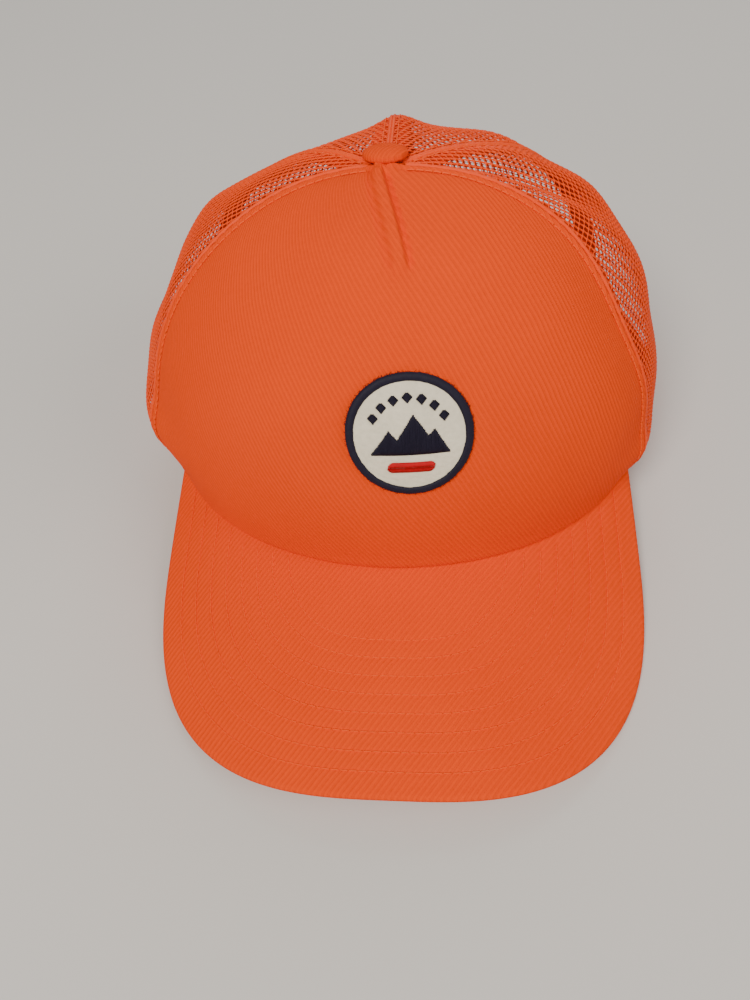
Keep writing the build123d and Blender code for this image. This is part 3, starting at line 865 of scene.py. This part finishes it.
low, high = (float(rise_at_radius(np.array(patch_angle), end)) for end in (dart_length + 6, 12.0))
dart_rises = np.linspace(low, high, 24)
across = np.linspace(-1, 1, 13)
rows = dart_rises[:, None] * np.ones(len(across))
angles = patch_angle + across * tape_half_width / radius(np.full(rows.shape, patch_angle), rows)
depths = (2.85, 3.45 + 0.25 * (1 - np.abs(across) ** 4)[None, :])
dart_cover = layer("dart_seam_tape", angles, rows, depths, tape_cloth, cloth_uv(angles, rows, patch_angle))
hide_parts("dart_tape")


# ---- sweatband, hem and label

def band_drop(angle):
    """How far the band reaches down past the hem, where the hem stands on the visor."""
    return visor_thickness * np.minimum(hem_height(angle) / (3 * visor_thickness), 1)


def band_depth(angle):
    """Depth of the band's outer face: deeper behind the foam of the front panel."""
    behind_front = logistic((np.abs(angle) - band_front_end) / 0.02)
    return mix(band_front_depth, band_side_depth, behind_front)


angle, turn = np.meshgrid(np.linspace(-band_end, band_end, 300), full_turn(30), indexing="ij")
up = 0.5 - 0.5 * squared(np.cos(turn), 0.75)
ripple = 2 * noise(surface(angle, 0.1 + 0 * angle), 30.0, 61)
pucker = 0.28 * np.sin(np.abs(angle) * 260 + ripple) * up ** 2
thick = band_thickness - 1.1 * bump(up - 0.14, 0.05) - 0.7 * bump(up - 0.9, 0.05) + pucker
depth = band_depth(angle) + thick * (0.5 + 0.5 * squared(np.sin(turn), 0.45))
height = up * (band_height + band_drop(angle)) - band_drop(angle)
points = crown(angle, rise_at_height(angle, np.maximum(height, 0)), depth)
points[..., 2] += np.minimum(height, 0)
uv = np.stack([angle * 90, height + np.sign(np.sin(turn)) * 3], -1)
band = new_piece("sweatband_padding", points, tube_faces(*angle.shape), band_cloth, uv)
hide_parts("sweatband")

# Two rows of stitches lie in the grooves of the band, near its bottom and near its top
line = np.linspace(-band_end + 0.02, band_end - 0.02, 500)
for up, groove in ((0.14, 2.35), (0.9, 2.75)):
    height = up * (band_height + band_drop(line)) - band_drop(line)
    rises = rise_at_height(line, np.maximum(height, 0))
    path = crown(line, rises, band_depth(line) + groove)
    inner_thread += stitch_row(path, -normal(line, rises), 3.2, 0.24)

for side, name in ((1, "left"), (-1, "right")):
    angles = np.sort(side * np.linspace(visor_end + hem_tape_gap, band_end, 130))
    angles, up = np.meshgrid(angles, np.linspace(0, 1, 14))
    rises = rise_at_height(angles, up * hem_tape_height)
    swell = 0.62 - 0.25 * bump(up - 0.2, 0.07) - 0.25 * bump(up - 0.8, 0.07)
    swell += 0.1 * noise(surface(angles, rises), 6.0, 71)
    uv = np.stack([angles * 93, up * hem_tape_height], -1)
    hem = layer(f"hem_tape_{name}", angles, rises, (-swell, -0.02), binding_cloth, uv)
    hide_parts(f"hem_binding_{name}")
    line = np.linspace(visor_end + 0.05, band_end - 0.02, 240) * side
    for height in hem_stitch_heights:
        rises = rise_at_height(line, height + 0 * line)
        outer_thread += stitch_row(crown(line, rises, -0.38), normal(line, rises), 3.0, 0.24)

angles, up = np.meshgrid(np.radians(np.linspace(*label_degrees, 20)), np.linspace(0, 1, 16))
rises = rise_at_height(angles, mix(*label_heights, up))
curl = 0.9 * (1 - up) ** 2 + 0.25 * np.sin(up * 5 + angles * 20)
uv = np.stack([angles * 90, up * 24], -1)
label = layer("care_label", angles, rises, (5.35 + curl, 5.65 + curl), label_cloth, uv)
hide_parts("size_label")


# ---- opening at the back

half_binding = arch_binding_width / 2
psi, turn = np.meshgrid(np.linspace(0, math.pi, 180), full_turn(20), indexing="ij")
reach = half_binding * squared(np.cos(turn), 0.7) + half_binding
lump = 0.08 * noise(np.stack([60 * np.cos(psi), 60 * np.sin(psi), 5 * np.sin(turn)], -1), 5.0, 81)
depth = 0.45 - (1.15 + lump) * squared(np.sin(turn), 0.6)
points = at_xz((arch_half_width + reach) * np.cos(psi), (arch_height + reach) * np.sin(psi), depth)
points[..., 2] = np.maximum(points[..., 2], 0.1)
uv = np.stack([psi * 55, reach], -1)
binding = new_piece("arch_binding_tape", points, tube_faces(*psi.shape), binding_cloth, uv)
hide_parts("arch_binding")

psi = np.linspace(0.03, math.pi - 0.03, 200)
reach = arch_binding_width - 1.7
x, z = (arch_half_width + reach) * np.cos(psi), (arch_height + reach) * np.sin(psi)
outward = unit(at_xz(x, z, -1.0) - at_xz(x, z, 0.0))
outer_thread += stitch_row(at_xz(x, z, -0.68), outward, 2.8, 0.24)
inner_thread += stitch_row(at_xz(x, z, 1.55), -outward, 2.8, 0.24)


# ---- visor

def visor_outline(inset, count):
    """Edge of the visor from one root end round the front to the other, evenly spaced."""
    turn = np.radians(np.linspace(-90, 90, 181))
    x, y = visor_edge(turn, inset)
    root_x, root_y = hem_plan(visor_end)
    widest = visor_half_width - inset
    part = np.linspace(0, 1, 30)[:-1]
    pull_y = mix(visor_widest_y, root_y, 0.45)
    side_x = (1 - part) ** 2 * (root_x - inset) + 2 * part * (1 - part) * widest + part ** 2 * widest
    side_y = (1 - part) ** 2 * root_y + 2 * part * (1 - part) * pull_y + part ** 2 * visor_widest_y
    x = np.concatenate([-side_x, x, side_x[::-1]])
    y = np.concatenate([side_y, y, side_y[::-1]])
    return even_points(np.stack([x, y], -1), count).T


def visor_inset(x, y):
    """Distance in from the visor's edge, along the family of lines that the stitching follows."""
    low, high = np.full(x.shape, -2.0), np.full(x.shape, 85.0)
    ahead = np.maximum(visor_widest_y - y, 0)
    for _ in range(24):
        middle = (low + high) / 2
        wide = visor_half_width - middle
        deep = visor_depth - middle
        inside = (np.abs(x) / wide) ** visor_corner_power + (ahead / deep) ** visor_corner_power < 1
        low, high = np.where(inside, middle, low), np.where(inside, high, middle)
    return low


stitch_insets = [8.0 + 6.0 * row for row in range(8)]
groove_depth = 0.20
rim = visor_thickness / 2


def visor_relief(x, y):
    """The cover's height over the board: a groove along each row of stitches."""
    inset = visor_inset(x, y)
    relief = 0.16 * noise(np.stack([x, y, 0 * x], -1), 40.0, 91)
    for row in stitch_insets:
        relief = relief - groove_depth * bump(inset - row, 0.8)
    return relief


def visor_cover(name, material, flip):
    """One cover of the visor: its face, and the half of the rim where it meets the other."""
    count, rows = 300, 90
    root_turn = np.linspace(-visor_end, visor_end, count)
    root_x = (hem_half_width - visor_root_depth) * np.sin(root_turn)
    root_y = -(hem_front - visor_root_depth) * np.cos(root_turn)
    edge_x, edge_y = visor_outline(rim, count)
    part = np.linspace(0, 1, rows)[:, None] ** 0.9
    x, y = mix(root_x, edge_x, part), mix(root_y, edge_y, part)
    relief = visor_relief(x, y) * np.clip((1 - part) / 0.04, 0, 1)
    depth = -relief if not flip else visor_thickness + relief
    for step in np.radians(np.linspace(12, 84, 7)):
        ring_x, ring_y = visor_outline(rim * (1 - math.sin(step)), count)
        ring_depth = rim * (1 - math.cos(step))
        ring_depth = visor_thickness - ring_depth if flip else ring_depth
        x, y = np.vstack([x, ring_x]), np.vstack([y, ring_y])
        depth = np.vstack([depth, np.full(count, ring_depth)])
    outer = np.stack([x, y, root_level + visor_level(x, y, depth)], -1)
    inner_depth = np.clip(depth, 0.75, rim) if not flip else np.clip(depth, rim, visor_thickness - 0.75)
    shrink = np.clip((np.arange(len(x)) - rows + 1) / 6, 0, 1)[:, None] * 0.7
    middle_x = x * (1 - shrink / visor_half_width)
    middle_y = y + shrink * 0.5
    inner = np.stack([middle_x, middle_y, root_level + visor_level(middle_x, middle_y, inner_depth)], -1)
    uv = np.stack([x, y + (depth - rim) * 0.5], -1)
    if not flip:
        outer, inner, uv = outer[::-1], inner[::-1], uv[::-1]
    return shell_piece(name, outer, inner, material, uv, 0.1)


visor_top = visor_cover("visor_top_twill", visor_twill, False)
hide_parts("visor_top_cover")
visor_under = visor_cover("visor_under_twill", visor_twill, True)
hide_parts("visor_under_cover")

visor_thread = []
for row in stitch_insets:
    x, y = visor_edge(np.radians(np.linspace(-90, 90, 181)), row)
    root_y = -hem_front * math.sqrt(1 - ((visor_half_width - row) / hem_half_width) ** 2) - 1.0
    side_y = np.linspace(root_y, visor_widest_y, 20)[:-1]
    if root_y < visor_widest_y:
        near = y < root_y
        x, y, side_y = x[near], y[near], side_y[:0]
    wide = np.full(len(side_y), visor_half_width - row)
    x = np.concatenate([-wide, x, wide])
    y = np.concatenate([side_y, y, side_y[::-1]])
    for depth, up in ((0.05, 1), (visor_thickness - 0.05, -1)):
        path = np.stack([x, y, root_level + visor_level(x, y, depth)], -1)
        lift = unit(np.stack([x / visor_arch_radius, np.full(len(x), -visor_rise), np.ones(len(x))], -1)) * up
        visor_thread += stitch_row(path, lift, 3.0, 0.2)
piece = new_piece("visor_stitching", *gather(visor_thread), thread)


# ---- button

def revolved(profile, count=72, ripple=None):
    """Closed round shape from a profile of (radius, height) that starts and ends on the axis."""
    ring = profile[1:-1]
    turn, distance = np.meshgrid(full_turn(count), ring[:, 0])
    height = np.repeat(ring[:, 1:2], count, 1)
    if ripple is not None:
        height = height + ripple(distance, turn)
    points = np.stack([distance * np.cos(turn), distance * np.sin(turn), height], -1).reshape(-1, 3)
    faces = grid_faces(len(ring), count, wrap=True, flip=True).tolist()
    total = len(points)
    points = np.vstack([points, [0, 0, profile[0, 1]], [0, 0, profile[-1, 1]]])
    around = np.roll(np.arange(count), -1)
    faces += [[total, a, b] for a, b in zip(range(count), around)]
    faces += [[total + 1, total - count + b, total - count + a] for a, b in zip(range(count), around)]
    return points, faces


def tilted(points):
    """Lean a shape made round the Z axis back with the crown's top, and put it under or on the crown."""
    y, z = points[:, 1], points[:, 2]
    turned_y = y * math.cos(button_tilt) + z * math.sin(button_tilt)
    turned_z = z * math.cos(button_tilt) - y * math.sin(button_tilt)
    return np.stack([points[:, 0], turned_y, turned_z], -1) + np.array(button_place)


def crimp(distance, turn):
    """Small folds round the rim of the button, where its cloth is gathered."""
    return 0.10 * np.cos(20 * turn) * np.clip(distance - button_radius + 0.9, 0, 1)


profile = [(button_radius * t, button_height - 1.5 * t ** 3.4) for t in np.linspace(0, 1, 14)]
profile += [(button_radius + 0.22 * math.sin(t), button_height - 1.5 - 1.1 * t) for t in (0.4, 0.8, 1.2)]
profile += [(button_radius - 0.5, -0.7), (button_radius - 1.5, -1.0), (0, -1.0)]
points, faces = revolved(np.array(profile), ripple=crimp)
uv = points[:, :2] + points[:, 2:] * 0.5
button = new_piece("button_twill", tilted(points), faces, button_twill, uv)
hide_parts("button_cover")

profile = [(0, -1.05), (1.6, -1.05), (1.6, -2.6), (4.2, -2.7), (5.0, -3.0), (5.2, -3.4), (4.9, -3.75)]
profile += [(3.4, -4.0), (1.9, -4.05), (1.5, -3.7), (0.9, -3.6), (0, -3.6)]
points, faces = revolved(np.array(profile))
rivet = new_piece("button_rivet_metal", tilted(points), faces, rivet_metal)
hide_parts("button_rivet")


# ---- patch

patch_table, patch_length = meridian(patch_angle)
patch_level = np.interp(patch_rise, patch_table, patch_length)


def patch_point(x, y, height):
    """Point of the patch, from its own sideways and upward places; height is over the twill."""
    x, y = np.broadcast_arrays(x, y)
    rises = np.interp(patch_level + y, patch_length, patch_table)
    middle = np.full(rises.shape, patch_angle)
    across = radius(middle, rises) * hem_half_width / hem_front
    return crown(patch_angle + x / across, rises, -np.broadcast_to(height, x.shape))


felt_radius = patch_radius - border_width + 0.4
felt_rings, felt_sides = 40, 140
turn, out = np.meshgrid(full_turn(felt_sides), np.linspace(0.02, 1, felt_rings))
x, y = felt_radius * out * np.cos(turn), felt_radius * out * np.sin(turn)
places = np.stack([x, y, 0 * x], -1)
fuzz = 0.10 * noise(places, 1.6, 101, 2) + 0.08 * noise(places, 6.0, 102, 1)
points = np.concatenate([patch_point(x, y, 1.05 + fuzz), patch_point(x, y, 0.12)[::-1]])
felt_disc = new_piece("patch_felt", points, tube_faces(2 * felt_rings, felt_sides, flip=True), felt)
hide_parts("patch_base")

turn, around = np.meshgrid(full_turn(960), full_turn(16), indexing="ij")
lean = turn * 110 + 1.4 * np.sin(around)
places = np.stack([20 * np.cos(turn), 20 * np.sin(turn), around], -1)
ridge = 0.09 * np.abs(np.sin(lean)) + 0.05 * noise(places, 3.0, 111)
half = border_width / 2
from_middle = patch_radius - half + (half + ridge) * np.cos(around)
height = 0.85 + (0.9 + ridge) * squared(np.sin(around), 0.8)
points = patch_point(from_middle * np.cos(turn), from_middle * np.sin(turn), height)
index = np.pad(np.arange(turn.size).reshape(turn.shape), ((0, 1), (0, 1)), mode="wrap")
faces = np.stack([index[:-1, :-1], index[1:, :-1], index[1:, 1:], index[:-1, 1:]], -1).reshape(-1, 4)
merrow = new_piece("patch_merrowed_edge", points, faces, navy_thread)
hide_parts("patch_border")

random = np.random.default_rng(7)
hairs = []
along = np.array([0.0, 0.5, 1.0])
start = patch_radius - 0.25
for _ in range(420):
    turn = random.uniform(0, 2 * math.pi)
    tip = start + random.uniform(0.3, 1.0)
    skew = random.uniform(-0.05, 0.05)
    reach = mix(start, tip, along)
    lift = random.uniform(0.1, 1.2) + np.array([0, 0.1, 0.05])
    bend = turn + skew * along ** 2
    path = patch_point(reach * np.cos(bend), reach * np.sin(bend), lift)
    hairs.append(tube(path, np.array([0.07, 0.055, 0.03]), 4))
piece = new_piece("patch_edge_fibres", *gather(hairs), navy_thread)


thread_pitch = 0.34
thread_radius = 0.2
thread_height = 1.15


def satin(lines):
    """Embroidery: each line, from one (x, y) to another, is one raised thread."""
    shapes = []
    for (x0, y0), (x1, y1) in lines:
        part = np.linspace(0, 1, max(int(math.hypot(x1 - x0, y1 - y0) / 1.2), 3) + 1)
        arch = 0.32 * np.minimum(1, 4 * part * (1 - part) * 1.6)
        path = patch_point(mix(x0, x1, part), mix(y0, y1, part), thread_height + arch)
        shapes.append(tube(path, thread_radius * random.uniform(0.92, 1.1), 5))
    return shapes


skyline = np.array([
    (-12.0, -5.3), (-6.2, 2.4), (-3.8, -0.5), (1.4, 7.2), (5.7, 0.5), (7.7, 2.4), (12.0, -5.3)])
star_distance = 12.24
lines = []
for x in np.arange(-11.7, 11.8, thread_pitch):
    top = np.interp(x, skyline[:, 0], skyline[:, 1]) + random.uniform(-0.12, 0.12)
    lines.append(((x, -5.4), (x + random.uniform(-0.04, 0.04), top)))
for star in np.radians(np.linspace(30, 150, 7)):
    middle_x, middle_y = star_distance * math.cos(star), star_distance * math.sin(star)
    for offset in np.arange(-1.5, 1.51, thread_pitch):
        wide = 1.65 - abs(offset)
        lines.append(((middle_x - wide, middle_y + offset), (middle_x + wide, middle_y + offset)))
piece = new_piece("patch_peaks_embroidery", *gather(satin(lines)), navy_thread)
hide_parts("patch_motif")

bar_level = -9.6
bar_half_height = 1.7
bar_straight = 5.5
lines = []
for x in np.arange(-7.0, 7.1, thread_pitch):
    past = max(abs(x) - bar_straight, 0)
    half = bar_half_height * math.sqrt(max(1 - past ** 2 / bar_half_height ** 2, 0.05))
    lines.append(((x - 0.22, bar_level - half), (x + 0.22, bar_level + half)))
piece = new_piece("patch_bar_embroidery", *gather(satin(lines)), red_thread)
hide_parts("patch_accent")


# ---- straps

back_radius = hem_half_width ** 2 / hem_back
back_centre_y = hem_back - back_radius
inner_radius = back_radius - strap_inner_depth
outer_radius = back_radius - strap_outer_depth
hinge_turn = math.asin(strap_hinge_x / inner_radius)
strap_middle = strap_bottom + strap_height / 2
strap_corner = 6.0


def back_circle(distance, turn):
    return np.stack([distance * np.sin(turn), back_centre_y + distance * np.cos(turn)], -1)


def strap(name, side, distances, snaps, pegs):
    """Strap and its sewn root in one piece, from the root to the free end."""
    turns = np.linspace(hinge_turn + (tab_length + 0.9) / inner_radius, -strap_free_end / inner_radius, 150)
    lap = strap_lap_end / inner_radius
    blend = np.clip((turns - lap) / (hinge_turn - lap), 0, 1)
    distance = mix(distances[0], distances[1], ease(blend))
    centre = back_circle(distance, side * turns)
    outward = unit(np.stack([np.sin(side * turns), np.cos(side * turns)], -1))
    to_end = (turns + strap_free_end / inner_radius) * inner_radius
    from_corner = np.maximum(strap_corner - to_end, 0)
    cut = strap_corner - np.sqrt(np.maximum(strap_corner ** 2 - from_corner ** 2, 0))
    half = strap_height / 2 - cut
    up = np.linspace(-1, 1, 25)
    edge_thin = 1 - 0.35 * np.clip((np.abs(up) - 0.9) / 0.1, 0, 1)
    grids = []
    for face in (1, -1):
        flat = centre[:, None] + outward[:, None] * (face * strap_thickness / 2 * edge_thin)[None, :, None]
        level = strap_middle + half[:, None] * up
        grids.append(np.concatenate([flat, level[..., None]], -1))
    outer, inner = grids if side < 0 else (grids[0][:, ::-1], grids[1][:, ::-1])
    points, faces, edge = shell(outer, inner, 0.3)
    piece = new_piece(name, points, faces, strap_plastic, body=None)

    shapes = []
    for place in snaps:
        turn = side * place / inner_radius
        middle = back_circle(outer_radius if not pegs else inner_radius, turn)
        out = np.array([math.sin(turn), math.cos(turn), 0])
        start = np.array([*middle, strap_middle])
        if pegs:
            reach = np.array([0.2, 0.5, 1.6, 2.2, 2.45, strap_thickness / 2 + peg_height])
            sizes = np.array([2.1, 1.75, peg_radius, peg_radius * 0.97, peg_radius * 0.85, peg_radius * 0.5])
            shapes.append(tube(start + reach[:, None] * out, sizes, 24))
        else:
            shapes.append(tube(start + np.array([[-3.0], [3.0]]) * out, snap_hole_radius, 28))
    extra = new_piece(name + "_snaps", *gather(shapes), strap_plastic, body=None)
    change = piece.modifiers.new("snaps", "BOOLEAN")
    change.operation = "UNION" if pegs else "DIFFERENCE"
    change.solver = "EXACT"
    change.object = extra
    bpy.context.view_layer.update()
    mesh = bpy.data.meshes.new_from_object(piece.evaluated_get(bpy.context.evaluated_depsgraph_get()))
    piece.modifiers.clear()
    piece.data = mesh
    bpy.data.objects.remove(extra)
    mesh.polygons.foreach_set("use_smooth", [True] * len(mesh.polygons))
    mesh.set_sharp_from_angle(angle=math.radians(40))
    return piece


# A point near each strap's hinge: sideways and backward from it, in metres
hinge = back_circle(inner_radius, hinge_turn) * MM
bend_start = (0.0025, -0.0012)
for side, name, distances, pegs in (
        (1, "hole_strap", (outer_radius, inner_radius), False),
        (-1, "peg_strap", (inner_radius, inner_radius), True)):
    piece = strap(name + "_moulding", side, distances, snap_places, pegs)
    start = np.array([side * (hinge[0] + bend_start[0]), hinge[1] + bend_start[1], strap_middle * MM])
    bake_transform(piece)
    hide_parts(name, name + "_tab")


# ---- thread and kept CAD parts

piece = new_piece("outer_stitching", *gather(outer_thread), thread)
piece = new_piece("inner_stitching", *gather(inner_thread), thread)

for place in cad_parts["visor_board"].material_slots:
    place.material = board_plastic


# ---- stage, light and camera

def floor():
    mesh = bpy.data.meshes.new("floor")
    wide = 6.0
    corners = [(-wide, -wide, 0), (wide, -wide, 0), (wide, wide, 0), (-wide, wide, 0)]
    mesh.from_pydata(corners, [], [(0, 1, 2, 3)])
    piece = bpy.data.objects.new("floor", mesh)
    bpy.context.scene.collection.objects.link(piece)
    nodes = Nodes("floor_paint", (0.62, 0.60, 0.57), 0.9, specular=0.1)
    nodes.tint(nodes.noise(2.0, 3.0), (0.60, 0.58, 0.55), (0.64, 0.62, 0.59))
    mesh.materials.append(nodes.material)


def area_light(name, place, target, size, power, color):
    data = bpy.data.lights.new(name, "AREA")
    data.shape = "DISK"
    data.size = size
    data.energy = power
    data.color = color
    light = bpy.data.objects.new(name, data)
    light.location = place
    towards = np.array(target) - np.array(place)
    light.rotation_euler = Vector(towards).to_track_quat("-Z", "Y").to_euler()
    bpy.context.scene.collection.objects.link(light)


def camera():
    """Camera above and in front of the cap, turned and tilted a little."""
    yaw, pitch, roll = math.radians(-9.68), math.radians(-54.81), math.radians(-7.89)
    ahead = np.array([math.sin(yaw) * math.cos(pitch), math.cos(yaw) * math.cos(pitch), math.sin(pitch)])
    right = np.array([math.cos(yaw), -math.sin(yaw), 0])
    up = np.cross(right, ahead)
    right, up = right * math.cos(roll) + up * math.sin(roll), up * math.cos(roll) - right * math.sin(roll)
    data = bpy.data.cameras.new("camera")
    data.lens = 28.83
    data.shift_x = 0.0187
    data.shift_y = -0.0055
    data.clip_start = 0.01
    view = bpy.data.objects.new("camera", data)
    turn = Matrix([(right[i], up[i], -ahead[i]) for i in range(3)])
    place = (0.0136, -0.2281, 0.2722)
    view.matrix_world = Matrix.Translation(place) @ turn.to_4x4()
    bpy.context.scene.collection.objects.link(view)
    bpy.context.scene.camera = view


floor()
area_light("key", (-0.45, -1.0, 1.5), (0, -0.03, 0.05), 0.8, 30, (1.0, 0.95, 0.88))
area_light("fill", (1.3, -0.5, 1.1), (0, 0, 0.05), 1.2, 9, (1.0, 0.96, 0.92))
area_light("rim", (0.2, 1.4, 1.1), (0, 0, 0.06), 1.0, 8, (0.95, 0.97, 1.0))
world = bpy.data.worlds.new("studio")
bpy.context.scene.world = world
world.use_nodes = True
world.node_tree.nodes["Background"].inputs["Color"].default_value = (0.95, 0.93, 0.90, 1)
world.node_tree.nodes["Background"].inputs["Strength"].default_value = 0.3
camera()
